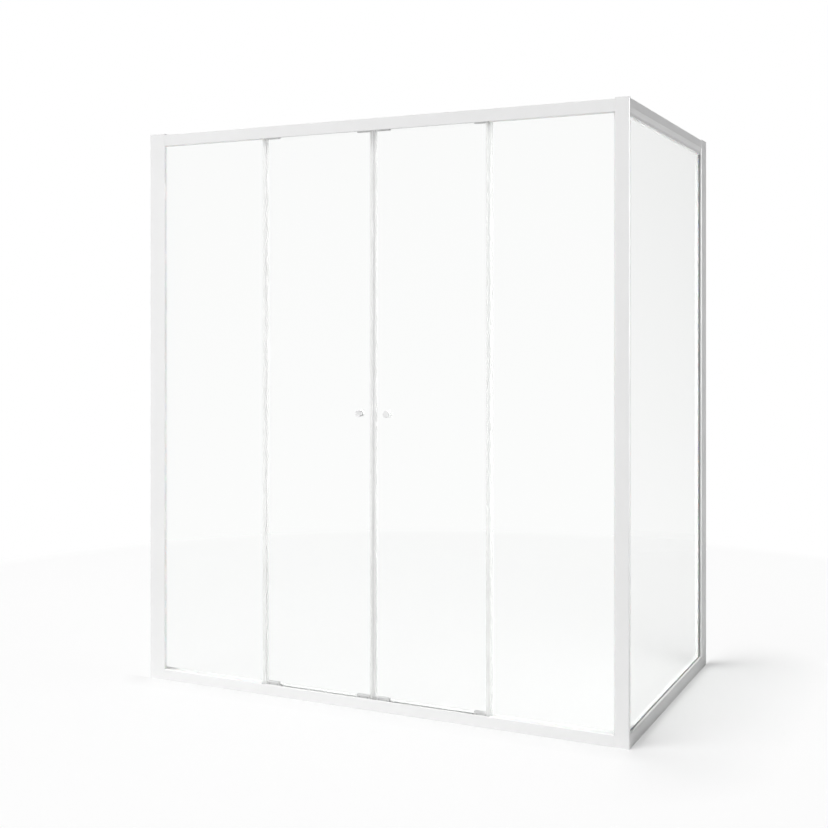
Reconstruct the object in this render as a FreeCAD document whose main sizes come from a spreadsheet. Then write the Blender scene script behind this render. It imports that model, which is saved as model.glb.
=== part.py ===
import FreeCAD, Part
import os
import re
import Sketcher

# Corner shower screen: a white framed enclosure with two sliding doors in the front
# and one fixed side pane. Millimetres. X runs along the front from the left wall to the
# corner post, Y runs from the front into the shower to the rear wall, Z is up.
# The origin is the middle of the bounding box, on the floor.

# Driving sizes. The first column is the alias of a cell in the sheet.
SIZES = [
    # Overall
    ("front_wide", 1677, "left wall to the outer face of the side"),
    ("side_deep", 987, "front face to the rear wall"),
    ("frame_tall", 1850, "floor to the top of the profiles, under the caps"),
    # Aluminium profiles
    ("profile_wall", 2, "wall of every aluminium profile"),
    ("divider_wall", 1.6, "wall between the fixed pane and the door in a front rail"),
    ("edge_ease", 1, "chamfer on the outer edges of the profiles"),
    ("frame_deep", 44, "front frame from front to back"),
    ("side_lip", 7.5, "outer lip of the side profiles"),
    ("side_inner_lip", 11.5, "inner lip of the side profiles"),
    ("stile_face", 60, "face of the left stile"),
    ("stile_body", 25, "hollow body behind that face, from the wall"),
    ("stile_bite", 26, "depth of its glazing channel"),
    ("stile_rear_lip", 11, "lip behind the pane"),
    ("post_face", 43, "front face of the corner post"),
    ("post_flank", 7, "depth of the outer side of the corner post"),
    ("post_round", 4, "rounding of its outer corner"),
    ("rear_stile_face", 70, "face of the rear stile"),
    ("top_rail_face", 38, "face of the front top rail"),
    ("bottom_rail_face", 34.5, "face of the front bottom rail"),
    ("side_bottom_face", 42.5, "face of the side bottom rail"),
    ("side_top_face", 49, "face of the side top rail"),
    ("side_top_flat", 26, "upright part of the side top rail's face"),
    ("side_top_slope", 14, "height of the sloped part below it"),
    ("side_top_inset", 4, "how far the slope leans in"),
    ("channel_bite", 12, "depth of the glazing channels"),
    ("side_bottom_bite", 10, "depth of the channel in the side bottom rail"),
    ("glass_standoff", 2, "free space between a pane's edge and its channel"),
    ("wall_gap", 1, "free space between an upright and the wall"),
    ("telescope_gap", 0.5, "play between an upright and its wall channel"),
    ("wall_channel_arm", 20, "arms of the wall channels"),
    ("cap_plate", 3, "thickness of the caps on the uprights"),
    # Panes
    ("pane_thick", 5, "fixed panes"),
    ("door_pane_thick", 5, "door panes"),
    ("front_wedge", 7, "space between the front wall and a fixed pane"),
    ("rear_filler", 3, "space between a fixed pane and the divider"),
    ("side_tape", 1.5, "space on each face of the side pane"),
    ("door_clear", 4.4, "space between the divider and the door pane"),
    # Glazing strips
    ("wedge_show", 2, "how far the front wedge stands out of its channel"),
    ("wedge_show_post", 5, "the same at the corner post"),
    ("wedge_tip", 1, "thickness of the wedge at its tip"),
    ("wedge_root", 8, "depth of the wedge in its channel"),
    ("filler_tall", 4, "height of the rear filler strip"),
    ("side_show", 10, "how far the side gaskets stand out of the rear stile"),
    ("side_show_low", 2, "the same at the side bottom rail"),
    ("side_show_top", 0.4, "the same at the side top rail"),
    ("side_root", 8, "depth of the side gaskets in their channel"),
    # Track in the front rails
    ("ledge_deep", 8.5, "ledge for the wheels, from the rear wall of the rail"),
    ("ledge_set", 28, "distance of the ledge from the outer face of its rail"),
    ("bead_wide", 2.8, "bead on the ledge that steers the wheels"),
    ("bead_tall", 1.5, "height of that bead"),
    ("skirt", 2, "rear wall past the ledge"),
    ("port_boss", 6.5, "boss of a screw port"),
    ("run_gap", 0.3, "free space between pieces that move past each other"),
    # Door
    ("doorway_trim", 6.5, "half the doorway is narrower than a quarter of the rails by this"),
    ("door_overlap", 15, "how far a closed door reaches behind a fixed pane"),
    ("meeting_gap", 1, "space between the closed doors"),
    ("pane_edge_set", 24, "edge of a door pane from the outer face of a rail"),
    ("strip_deep", 10, "door strips from front to back"),
    ("back_strip_wide", 13, "strip on the trailing edge"),
    ("meeting_strip_wide", 11, "strip on the leading edge"),
    ("strip_skin", 1, "wall of the meeting strip round its magnet"),
    ("strip_web", 2, "strip material beyond the edge of a pane"),
    ("magnet_wide", 3.5, "magnet in the meeting strip"),
    ("fixed_strip_wide", 13, "strip on the free edge of a fixed pane"),
    ("fixed_strip_cheek", 1.8, "wall of that strip"),
    ("fin_thick", 1, "soft fin that closes against the door"),
    ("fin_inset", 3, "fin from the inner end of its strip"),
    # Carriers and wheels
    ("carrier_long", 45, "carrier along the rail"),
    ("carrier_gap", 0.5, "carrier from the strip on its end of the door"),
    ("carrier_cheek", 3, "cheek in front of the pane"),
    ("carrier_arm", 3.8, "arm behind the pane"),
    ("carrier_bridge", 3, "web round the edge of the pane"),
    ("carrier_show_top", 0.4, "how far a top carrier shows past the rail"),
    ("carrier_show_bottom", 6.5, "how far a bottom carrier shows past the rail"),
    ("carrier_reach", 8, "arm past the axle"),
    ("carrier_ease", 0.8, "chamfer on the carriers"),
    ("wheel_root", 8, "running radius of a wheel"),
    ("wheel_rim", 9.2, "radius of its rims"),
    ("wheel_wide", 5.4, "width of a wheel"),
    ("groove_flare", 0.4, "slope of the sides of its groove"),
    ("wheel_wall_gap", 1.8, "wheel to the rear wall of the rail"),
    ("axle_radius", 2, "axle"),
    ("axle_play", 0.05, "running fit of the wheel, on the radius"),
    ("axle_shoulder", 3.5, "radius of the shoulder on the axle"),
    ("axle_head", 3.2, "radius of the axle's head"),
    ("axle_head_thick", 1, "thickness of that head"),
    # Screws
    ("port_screw_radius", 1.6, "frame screws"),
    ("port_screw_grip", 16, "how deep a frame screw goes into a rail"),
    ("port_head_radius", 2.8, "heads of the frame screws"),
    ("port_head_tall", 2.2, "height of those heads"),
    ("hole_play", 0.3, "clearance hole round a screw, on the radius"),
    ("carrier_screw_radius", 2.5, "screws that clamp a carrier to its pane"),
    ("carrier_screw_head", 3.3, "radius of their heads"),
    ("carrier_screw_head_tall", 1.6, "height of their heads"),
    ("carrier_screw_set", 32, "their height from the outer face of the rail"),
    ("carrier_screw_pitch", 29, "distance between the two in a carrier"),
    ("carrier_screw_short", 0.5, "how far they stay behind the front cheek"),
    ("pane_hole_play", 0.6, "hole in a pane round a screw, on the radius"),
    ("adjust_radius", 2, "adjusting screws"),
    ("adjust_head", 4, "radius of their heads"),
    ("adjust_head_tall", 2.4, "height of their heads"),
    ("adjust_long", 9, "length under the head"),
    ("adjust_set", 12, "adjusting screws from the wall"),
    ("adjust_low", 230, "lowest adjusting screw from the floor"),
    ("recess_long", 3.2, "cross recess in the screw heads"),
    ("recess_wide", 0.8, "its width"),
    ("recess_deep", 0.9, "its depth"),
    ("wall_hole_radius", 3, "holes for the wall screws"),
    ("wall_hole_low", 150, "lowest of those holes from the floor"),
    # Knobs
    ("knob_radius", 11.5, "knob"),
    ("knob_proud", 10, "knob from its bush"),
    ("knob_neck", 8.5, "radius of the knob's foot"),
    ("knob_neck_tall", 2, "height of that foot"),
    ("knob_ease", 1.4, "rounding of the knob's rim"),
    ("knob_dish", 0.6, "depth of the dish in its face"),
    ("knob_dish_rim", 2, "rim round the dish"),
    ("knob_set", 48, "knob's axis from the leading edge of the door"),
    ("knob_high", 926, "knob's axis from the floor"),
    ("stud_radius", 3, "stud that joins the two knobs"),
    ("stud_grip", 7, "how deep it goes into each knob"),
    ("bush_radius", 8, "flange of the knob's bush"),
    ("bush_flange", 1, "its thickness"),
    ("bush_collar", 5, "radius of its collar in the pane"),
    ("bush_collar_tall", 2.3, "length of that collar"),
    # Door buffers
    ("buffer_set", 60.2, "buffer from the upright"),
    ("buffer_long", 20, "buffer along the rail"),
    ("buffer_wide", 6, "buffer from front to back"),
    ("buffer_tall", 16, "buffer down from the web of the rail"),
    # Cutting
    ("overrun", 1, "how far a cutter goes past what it cuts"),
]

# Screws and holes up each wall upright
ADJUSTING_SCREWS = 3
WALL_HOLES = 4

# Places and sizes that follow from the driving ones.
DERIVED = [
    ("left_face", "-front_wide / 2", "plane of the left wall"),
    ("right_face", "front_wide / 2", "outer face of the side"),
    ("front_face", "-side_deep / 2", "outer face of the front"),
    ("rear_face", "side_deep / 2", "plane of the rear wall"),
    ("body_edge", "left_face + stile_body", "where the tracks of the front rails start"),
    ("stile_edge", "left_face + stile_face", "where their faces start"),
    ("post_edge", "right_face - post_face", "where the front rails end"),
    ("rail_long", "post_edge - stile_edge", "faces of the front rails"),
    ("middle_x", "(stile_edge + post_edge) / 2", "where the doors meet"),
    ("doorway_half", "rail_long / 4 - doorway_trim", "from there to the edge of a fixed pane"),
    ("pane_front", "profile_wall + front_wedge", "front of the fixed panes"),
    ("pane_rear", "pane_front + pane_thick", "rear of the fixed panes"),
    ("divider_front", "pane_rear + rear_filler", "front of the divider"),
    ("divider_rear", "divider_front + divider_wall", "rear of the divider"),
    ("door_front", "divider_rear + door_clear", "front of the door panes"),
    ("door_rear", "door_front + door_pane_thick", "rear of the door panes"),
    ("track_wall", "frame_deep - profile_wall", "inner face of the rear wall"),
    ("ledge_edge", "track_wall - ledge_deep", "free edge of the ledge"),
    ("bead_middle", "track_wall - wheel_wall_gap - wheel_wide / 2", "middle of the bead"),
    ("top_floor", "top_rail_face - channel_bite", "floor of the top rail's channel"),
    ("bottom_floor", "bottom_rail_face - channel_bite", "floor of the bottom rail's channel"),
    ("axle_set", "ledge_set - bead_tall - run_gap - wheel_root", "axles from a rail's face"),
    ("side_channel", "pane_thick + 2 * side_tape", "mouth of the side channels"),
    ("side_inner", "side_lip + side_channel", "start of the inner lip"),
    ("side_thick", "side_inner + side_inner_lip", "side profiles"),
    ("side_pane_out", "side_lip + side_tape", "outer face of the side pane"),
    ("side_pane_in", "side_pane_out + pane_thick", "inner face of the side pane"),
    ("side_run_start", "front_face + frame_deep", "where the post's body ends"),
    ("side_run_end", "rear_face - rear_stile_face", "where the rear stile starts"),
    ("port_set", "profile_wall + port_boss / 2", "middle of a screw port"),
    ("port_y", "divider_rear + port_boss / 2", "middle of a front rail's port"),
    ("port_x", "side_thick - profile_wall - port_boss / 2", "middle of a side rail's port"),
    ("door_lead", "meeting_gap / 2", "leading edge from the middle"),
    ("door_back", "doorway_half + door_overlap", "trailing edge from the middle"),
    ("strip_front", "door_front - (strip_deep - door_pane_thick) / 2", "front of a door strip"),
    ("strip_rear", "strip_front + strip_deep", "rear of a door strip"),
    ("strip_low", "pane_edge_set", "lower end of the door strips"),
    ("strip_high", "frame_tall - pane_edge_set", "their upper end"),
    ("cheek_front", "door_front - carrier_cheek", "front of the carriers"),
    ("arm_rear", "door_rear + carrier_arm", "rear of the carriers"),
    ("wheel_front", "bead_middle - wheel_wide / 2", "front of the wheels"),
    ("wheel_rear", "bead_middle + wheel_wide / 2", "rear of the wheels"),
    ("lead_carrier", "door_lead + meeting_strip_wide + carrier_gap", "near end of two carriers"),
    ("back_carrier", "door_back - back_strip_wide - carrier_gap - carrier_long",
     "near end of the others"),
    ("knob_x", "door_lead + knob_set", "knob's axis from the middle"),
    ("buffer_near", "rail_long / 2 - buffer_set - buffer_long", "face of a buffer"),
    ("adjust_step", f"(frame_tall - 2 * adjust_low) / {ADJUSTING_SCREWS - 1}",
     "between adjusting screws"),
    ("wall_hole_step", f"(frame_tall - 2 * wall_hole_low) / {WALL_HOLES - 1}",
     "between wall holes"),
]

ALIASES = {row[0] for row in SIZES} | {row[0] for row in DERIVED}

doc = FreeCAD.newDocument("CornerShowerScreen")
sheet = doc.addObject("Spreadsheet::Sheet", "Sizes")
for row, (alias, value, note) in enumerate(SIZES + DERIVED, start=1):
    text = str(value) if (alias, value, note) in SIZES else "=" + value
    sheet.set("A%d" % row, alias)
    sheet.set("B%d" % row, text)
    sheet.setAlias("B%d" % row, alias)
    sheet.set("C%d" % row, note)
doc.recompute()

nodes = []


def bound(text):
    """An expression in sheet names, as another object can hold it."""
    return re.sub(r"[a-z_]+", lambda m: "Sizes." + m[0] if m[0] in ALIASES else m[0], text)


def bind(thing, **properties):
    """Bind properties of an object to expressions."""
    for name, text in properties.items():
        thing.setExpression(name, bound(text))


def put(thing, place):
    """Bind the place of an object to three expressions."""
    for letter, text in zip("xyz", place):
        thing.setExpression(".Placement.Base." + letter, bound(text))


def node(thing, label):
    """Register an object as a sub-part under its label."""
    thing.Label = label
    nodes.append(thing)
    return thing


def shifted(place, **steps):
    """A place moved along its axes by expressions."""
    return tuple(text + " + " + steps[letter] if letter in steps else text
                 for letter, text in zip("xyz", place))


TURN = {
    "x": FreeCAD.Rotation(FreeCAD.Vector(0, 1, 0), 90),
    "-x": FreeCAD.Rotation(FreeCAD.Vector(0, 1, 0), -90),
    "y": FreeCAD.Rotation(FreeCAD.Vector(1, 0, 0), -90),
    "-y": FreeCAD.Rotation(FreeCAD.Vector(1, 0, 0), 90),
    "z": FreeCAD.Rotation(),
}


def box(name, place, size):
    """A block with its low corner at a place."""
    block = doc.addObject("Part::Box", name)
    bind(block, Length=size[0], Width=size[1], Height=size[2])
    put(block, place)
    return block


def rod(name, place, axis, radius, length):
    """A cylinder that starts at a place and runs along an axis."""
    cylinder = doc.addObject("Part::Cylinder", name)
    bind(cylinder, Radius=radius, Height=length)
    cylinder.Placement = FreeCAD.Placement(FreeCAD.Vector(), TURN[axis])
    put(cylinder, place)
    return cylinder


def group(name, solids):
    """Separate solids in one object."""
    compound = doc.addObject("Part::Compound", name)
    compound.Links = solids
    return compound


def joined(name, solids):
    """One solid made of several."""
    fuse = doc.addObject("Part::MultiFuse", name)
    fuse.Shapes = solids
    return fuse


def cut(name, base, cutters):
    """A base with a list of cutters taken out of it."""
    result = doc.addObject("Part::Cut", name)
    result.Base = base
    result.Tool = cutters[0] if len(cutters) == 1 else joined(name + "Cutters", cutters)
    return result


def draw_loop(sketch, loop):
    """Add one closed outline, each corner held by two bound distances."""
    start = sketch.GeometryCount
    count = len(loop)
    corners = [tuple(float(sheet.evalExpression(text)) for text in point) for point in loop]
    for index, (u, v) in enumerate(corners):
        after = corners[(index + 1) % count]
        sketch.addGeometry(Part.LineSegment(FreeCAD.Vector(u, v, 0),
                                            FreeCAD.Vector(after[0], after[1], 0)), False)
    for index in range(count):
        line = start + index
        next_line = start + (index + 1) % count
        sketch.addConstraint(Sketcher.Constraint("Coincident", line, 2, next_line, 1))
    for index, point in enumerate(loop):
        for kind, text, value in zip(("DistanceX", "DistanceY"), point, corners[index]):
            place = sketch.addConstraint(
                Sketcher.Constraint(kind, -1, 1, start + index, 1, value))
            sketch.setExpression("Constraints[%d]" % place, bound(text))


def draw_circle(sketch, centre, radius):
    """Add a circle with bound centre and radius."""
    u, v, r = (float(sheet.evalExpression(text)) for text in (*centre, radius))
    circle = sketch.addGeometry(
        Part.Circle(FreeCAD.Vector(u, v, 0), FreeCAD.Vector(0, 0, 1), r), False)
    rules = (
        (Sketcher.Constraint("DistanceX", -1, 1, circle, 3, u), centre[0]),
        (Sketcher.Constraint("DistanceY", -1, 1, circle, 3, v), centre[1]),
        (Sketcher.Constraint("Radius", circle, r), radius),
    )
    for rule, text in rules:
        place = sketch.addConstraint(rule)
        sketch.setExpression("Constraints[%d]" % place, bound(text))


def sketched_body(name, plane, loops, circles=()):
    """A body with one sketch on an origin plane."""
    body = doc.addObject("PartDesign::Body", name)
    sketch = body.newObject("Sketcher::SketchObject", name + "Section")
    origin_plane = [f for f in body.Origin.OriginFeatures if f.Role == plane][0]
    sketch.AttachmentSupport = [(origin_plane, "")]
    sketch.MapMode = "FlatFace"
    for loop in loops:
        draw_loop(sketch, loop)
    for centre, radius in circles:
        draw_circle(sketch, centre, radius)
    return body, sketch


def extrusion(name, plane, loops, place, length, circles=()):
    """A profile drawn across its run and padded along it.

    YZ sections run along +X, XZ sections along +Y and XY sections along +Z.
    """
    body, sketch = sketched_body(name, plane, loops, circles)
    pad = body.newObject("PartDesign::Pad", name + "Run")
    pad.Profile = sketch
    bind(pad, Length=length)
    pad.Reversed = plane == "XZ_Plane"
    put(body, place)
    return body


def turned(name, loop, place, faces="y"):
    """A solid of revolution about Y: the outline gives radius and distance along the axis."""
    body, sketch = sketched_body(name, "XY_Plane", [loop])
    turn = body.newObject("PartDesign::Revolution", name + "Turn")
    turn.Profile = sketch
    turn.ReferenceAxis = (sketch, ["V_Axis"])
    turn.Angle = 360
    if faces == "-y":
        body.Placement = FreeCAD.Placement(
            FreeCAD.Vector(), FreeCAD.Rotation(FreeCAD.Vector(0, 0, 1), 180))
    put(body, place)
    return body


def screw(name, seat, axis, length, shank, head, head_tall):
    """A screw whose head sits on a seat and whose shank runs along an axis."""
    letter = axis[-1]
    sign = "-1" if axis[0] == "-" else "1"
    crown = shifted(seat, **{letter: f"{sign} * -({head_tall})"})
    recess = shifted(crown, **{letter: f"{sign} * recess_deep / 2"})
    shaft = rod(name + "Shank", crown, axis, shank, f"{length} + {head_tall}")
    cap = rod(name + "Head", crown, axis, head, head_tall)
    across = [other for other in "xyz" if other != letter]
    bars = []
    for index, bar_along in enumerate(across):
        spans = {bar_along: "recess_long", letter: "2 * recess_deep"}
        size = [spans.get(other, "recess_wide") for other in "xyz"]
        corner = [f"{text} - ({span}) / 2" for text, span in zip(crown, size)]
        bars.append(box(f"{name}Bar{index}", corner, size))
    return cut(name, joined(name + "Blank", [shaft, cap]), bars)


def rectangle(left, low, right, high):
    """The four corners of a rectangular outline."""
    return [(left, low), (right, low), (right, high), (left, high)]


def mirrored(loop, side):
    """An outline with its first coordinate on one side of the middle."""
    return [(f"{side} * ({u})", v) for u, v in loop]


def block_from_middle(name, side, near, far, low_y, high_y, low_z, high_z):
    """A block between two distances from the middle of the doorway, on one side of it."""
    start = f"middle_x - ({far})" if side < 0 else f"middle_x + ({near})"
    place = (start, f"front_face + {low_y}", low_z)
    return box(name, place, (f"({far}) - ({near})", f"({high_y}) - ({low_y})",
                             f"({high_z}) - ({low_z})"))


def heights(end, near, far):
    """Low and high Z of a span given from the outer face of the top or bottom rail."""
    if end == "top":
        return f"frame_tall - ({far})", f"frame_tall - ({near})"
    return near, far


def face_of(end):
    """Face of the front top or bottom rail."""
    return end + "_rail_face"


def floor_of(end):
    """Floor of the glazing channel in the front top or bottom rail."""
    return end + "_floor"


def at_height(end, distance):
    """Z of a distance from the outer face of the top or bottom rail."""
    return f"frame_tall - ({distance})" if end == "top" else distance


# Wall channels and uprights

def wall_holes(name, place, axis):
    """Holes up a wall channel, for the screws into the wall."""
    return [rod(f"{name}Hole{index}", shifted(place, z=f"wall_hole_low + {index} * wall_hole_step"),
                axis, "wall_hole_radius", "profile_wall + 2 * overrun")
            for index in range(WALL_HOLES)]


def adjusting_places(place):
    """Places up an upright, for its adjusting screws."""
    return [shifted(place, z=f"adjust_low + {index} * adjust_step")
            for index in range(ADJUSTING_SCREWS)]


def left_wall_channel():
    front = "profile_wall + telescope_gap"
    back = "frame_deep - profile_wall - telescope_gap"
    section = [
        ("0", front),
        ("wall_channel_arm", front),
        ("wall_channel_arm", f"{front} + profile_wall"),
        ("profile_wall", f"{front} + profile_wall"),
        ("profile_wall", f"{back} - profile_wall"),
        ("wall_channel_arm", f"{back} - profile_wall"),
        ("wall_channel_arm", back),
        ("0", back),
    ]
    channel = extrusion("LeftChannel", "XY_Plane", [section],
                        ("left_face", "front_face", "0"), "frame_tall")
    holes = wall_holes("LeftChannel", ("left_face - overrun", "front_face + frame_deep / 2", "0"), "x")
    arm = ("left_face + adjust_set", f"front_face + {back} - profile_wall - overrun", "0")
    bites = [rod(f"LeftChannelBite{i}", place, "y", "adjust_radius", "profile_wall + 2 * overrun")
             for i, place in enumerate(adjusting_places(arm))]
    return cut("LeftChannelCut", channel, holes + bites)


def left_stile():
    """A broad front flange that covers the edge of the pane, on a narrow hollow body."""
    floor = "stile_face - stile_bite"
    lip_rear = "divider_front + profile_wall"
    section = [
        ("wall_gap", "edge_ease"),
        ("wall_gap + edge_ease", "0"),
        ("stile_face - edge_ease", "0"),
        ("stile_face", "edge_ease"),
        ("stile_face", "profile_wall"),
        (floor, "profile_wall"),
        (floor, "divider_front"),
        (f"{floor} + stile_rear_lip", "divider_front"),
        (f"{floor} + stile_rear_lip", lip_rear),
        ("stile_body", lip_rear),
        ("stile_body", "frame_deep"),
        ("wall_gap", "frame_deep"),
        ("wall_gap", "track_wall"),
        ("stile_body - profile_wall", "track_wall"),
        ("stile_body - profile_wall", "divider_front"),
        (f"{floor} - profile_wall", "divider_front"),
        (f"{floor} - profile_wall", "profile_wall"),
        ("wall_gap", "profile_wall"),
    ]
    stile = extrusion("LeftStile", "XY_Plane", [section], ("left_face", "front_face", "0"),
                      "frame_tall")
    rear = ("left_face + adjust_set", "front_face + track_wall - overrun", "0")
    holes = [rod(f"LeftStileAdjust{i}", place, "y", "adjust_radius + hole_play",
                 "profile_wall + 2 * overrun") for i, place in enumerate(adjusting_places(rear))]
    for end in ("bottom", "top"):
        place = ("body_edge - profile_wall - overrun", "front_face + port_y",
                 at_height(end, "port_set"))
        holes.append(rod("LeftStilePort" + end, place, "x", "port_screw_radius + hole_play",
                         "profile_wall + 2 * overrun"))
    return cut("LeftStileCut", stile, holes)


def post_outline():
    """The outside of the corner post, from its left edge round to the back."""
    inner = "-side_inner"
    corner = [(f"-post_round * (1 - sin({angle}))", f"post_round * (1 - cos({angle}))")
              for angle in (0, 30, 60, 90)]
    return [
        ("-post_face", "edge_ease"),
        ("-post_face + edge_ease", "0"),
    ] + corner + [
        ("0", "post_flank"),
        (inner, "post_flank"),
        (inner, "frame_deep"),
        ("-post_face", "frame_deep"),
    ]


def corner_post():
    floor = "-(post_face - channel_bite)"
    inner = "-side_inner"
    section = post_outline() + [
        ("-post_face", "divider_front"),
        (floor, "divider_front"),
        (floor, "profile_wall"),
        ("-post_face", "profile_wall"),
    ]
    chamber = [
        (f"{floor} + profile_wall", "profile_wall"),
        ("-profile_wall", "profile_wall"),
        ("-profile_wall", "post_flank - profile_wall"),
        (f"{inner} - profile_wall", "post_flank - profile_wall"),
        (f"{inner} - profile_wall", "track_wall"),
        ("-post_face + profile_wall", "track_wall"),
        ("-post_face + profile_wall", "divider_front + profile_wall"),
        (f"{floor} + profile_wall", "divider_front + profile_wall"),
    ]
    post = extrusion("CornerPost", "XY_Plane", [section, chamber],
                     ("right_face", "front_face", "0"), "frame_tall")
    holes = []
    for end in ("bottom", "top"):
        height = at_height(end, "port_set")
        front = ("post_edge + profile_wall + overrun", "front_face + port_y", height)
        side = ("right_face - port_x", "front_face + track_wall - overrun", height)
        for name, place, axis in (("Front", front, "-x"), ("Side", side, "y")):
            holes.append(rod(f"Post{name}Port{end}", place, axis, "port_screw_radius + hole_play",
                             "profile_wall + 2 * overrun"))
    return cut("CornerPostCut", post, holes)


def rear_stile():
    floor = "-(rear_stile_face - channel_bite)"
    web = f"{floor} + profile_wall"
    end = "-rear_stile_face"
    section = [
        ("0", "-wall_gap"),
        ("0", f"{end} + edge_ease"),
        ("-edge_ease", end),
        ("-side_lip", end),
        ("-side_lip", floor),
        ("-side_inner", floor),
        ("-side_inner", end),
        ("-side_thick", end),
        ("-side_thick", "-wall_gap"),
        ("-side_thick + profile_wall", "-wall_gap"),
        ("-side_thick + profile_wall", web),
        ("-profile_wall", web),
        ("-profile_wall", "-wall_gap"),
    ]
    outer_lip = rectangle("-side_lip + profile_wall", f"{end} + profile_wall", "-profile_wall", floor)
    inner_lip = rectangle("-side_thick + profile_wall", f"{end} + profile_wall",
                          "-side_inner - profile_wall", floor)
    stile = extrusion("RearStile", "XY_Plane", [section, outer_lip, inner_lip],
                      ("right_face", "rear_face", "0"), "frame_tall")
    inside = ("right_face - side_thick - overrun", "rear_face - adjust_set", "0")
    holes = [rod(f"RearStileAdjust{i}", place, "x", "adjust_radius + hole_play",
                 "profile_wall + 2 * overrun") for i, place in enumerate(adjusting_places(inside))]
    for end_name in ("bottom", "top"):
        place = ("right_face - port_x", f"rear_face + {web} + overrun",
                 at_height(end_name, "port_set"))
        holes.append(rod("RearStilePort" + end_name, place, "-y", "port_screw_radius + hole_play",
                         "channel_bite + profile_wall + 2 * overrun"))
    return cut("RearStileCut", stile, holes)


def rear_wall_channel():
    outer = "-profile_wall - telescope_gap"
    inner = "-side_thick + profile_wall + telescope_gap"
    arm = "-wall_channel_arm"
    section = [
        (outer, "0"),
        (outer, arm),
        (f"{outer} - profile_wall", arm),
        (f"{outer} - profile_wall", "-profile_wall"),
        (f"{inner} + profile_wall", "-profile_wall"),
        (f"{inner} + profile_wall", arm),
        (inner, arm),
        (inner, "0"),
    ]
    channel = extrusion("RearChannel", "XY_Plane", [section], ("right_face", "rear_face", "0"),
                        "frame_tall")
    holes = wall_holes("RearChannel", ("right_face - side_thick / 2", "rear_face + overrun", "0"), "-y")
    side = (f"right_face + {inner} - overrun", "rear_face - adjust_set", "0")
    bites = [rod(f"RearChannelBite{i}", place, "x", "adjust_radius", "profile_wall + 2 * overrun")
             for i, place in enumerate(adjusting_places(side))]
    return cut("RearChannelCut", channel, holes + bites)


# Rails

def rail_level(end, distance):
    """A distance from the outer face of a rail, in the rail's own sketch."""
    return f"-({distance})" if end == "top" else distance


def front_rail(name, end):
    """A front rail with its glazing channel in front and its track for the doors behind. At the
    left its track runs on behind the flange of the stile, and the channel stops at the flange."""
    section = [
        ("edge_ease", "0"),
        ("frame_deep", "0"),
        ("frame_deep", "ledge_set + profile_wall + skirt"),
        ("track_wall", "ledge_set + profile_wall + skirt"),
        ("track_wall", "ledge_set + profile_wall"),
        ("ledge_edge", "ledge_set + profile_wall"),
        ("ledge_edge", "ledge_set"),
        ("bead_middle - bead_wide / 2", "ledge_set"),
        ("bead_middle - bead_wide / 2", "ledge_set - bead_tall"),
        ("bead_middle + bead_wide / 2", "ledge_set - bead_tall"),
        ("bead_middle + bead_wide / 2", "ledge_set"),
        ("track_wall", "ledge_set"),
        ("track_wall", "profile_wall"),
        ("divider_rear + port_boss", "profile_wall"),
        ("divider_rear + port_boss", "profile_wall + port_boss"),
        ("divider_rear", "profile_wall + port_boss"),
        ("divider_rear", "ledge_set + profile_wall"),
        ("divider_front", "ledge_set + profile_wall"),
        ("divider_front", floor_of(end)),
        ("profile_wall", floor_of(end)),
        ("profile_wall", face_of(end)),
        ("edge_ease", face_of(end)),
        ("0", f"{face_of(end)} - edge_ease"),
        ("0", "edge_ease"),
    ]
    chamber = rectangle("profile_wall", "profile_wall", "divider_front",
                        f"{floor_of(end)} - profile_wall")
    loops = [[(u, rail_level(end, v)) for u, v in loop] for loop in (section, chamber)]
    port = (("port_y", rail_level(end, "port_set")), "port_screw_radius")
    place = ("body_edge", "front_face", at_height(end, "0"))
    rail = extrusion(name, "YZ_Plane", loops, place, "post_edge - body_edge", [port])
    low, high = heights(end, "-overrun", f"{face_of(end)} + overrun")
    notch = box(name + "Notch", ("body_edge - overrun", "front_face - overrun", low),
                ("stile_edge - body_edge + overrun", "divider_front + profile_wall + overrun",
                 f"({high}) - ({low})"))
    return cut(name + "Cut", rail, [notch])


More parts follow.
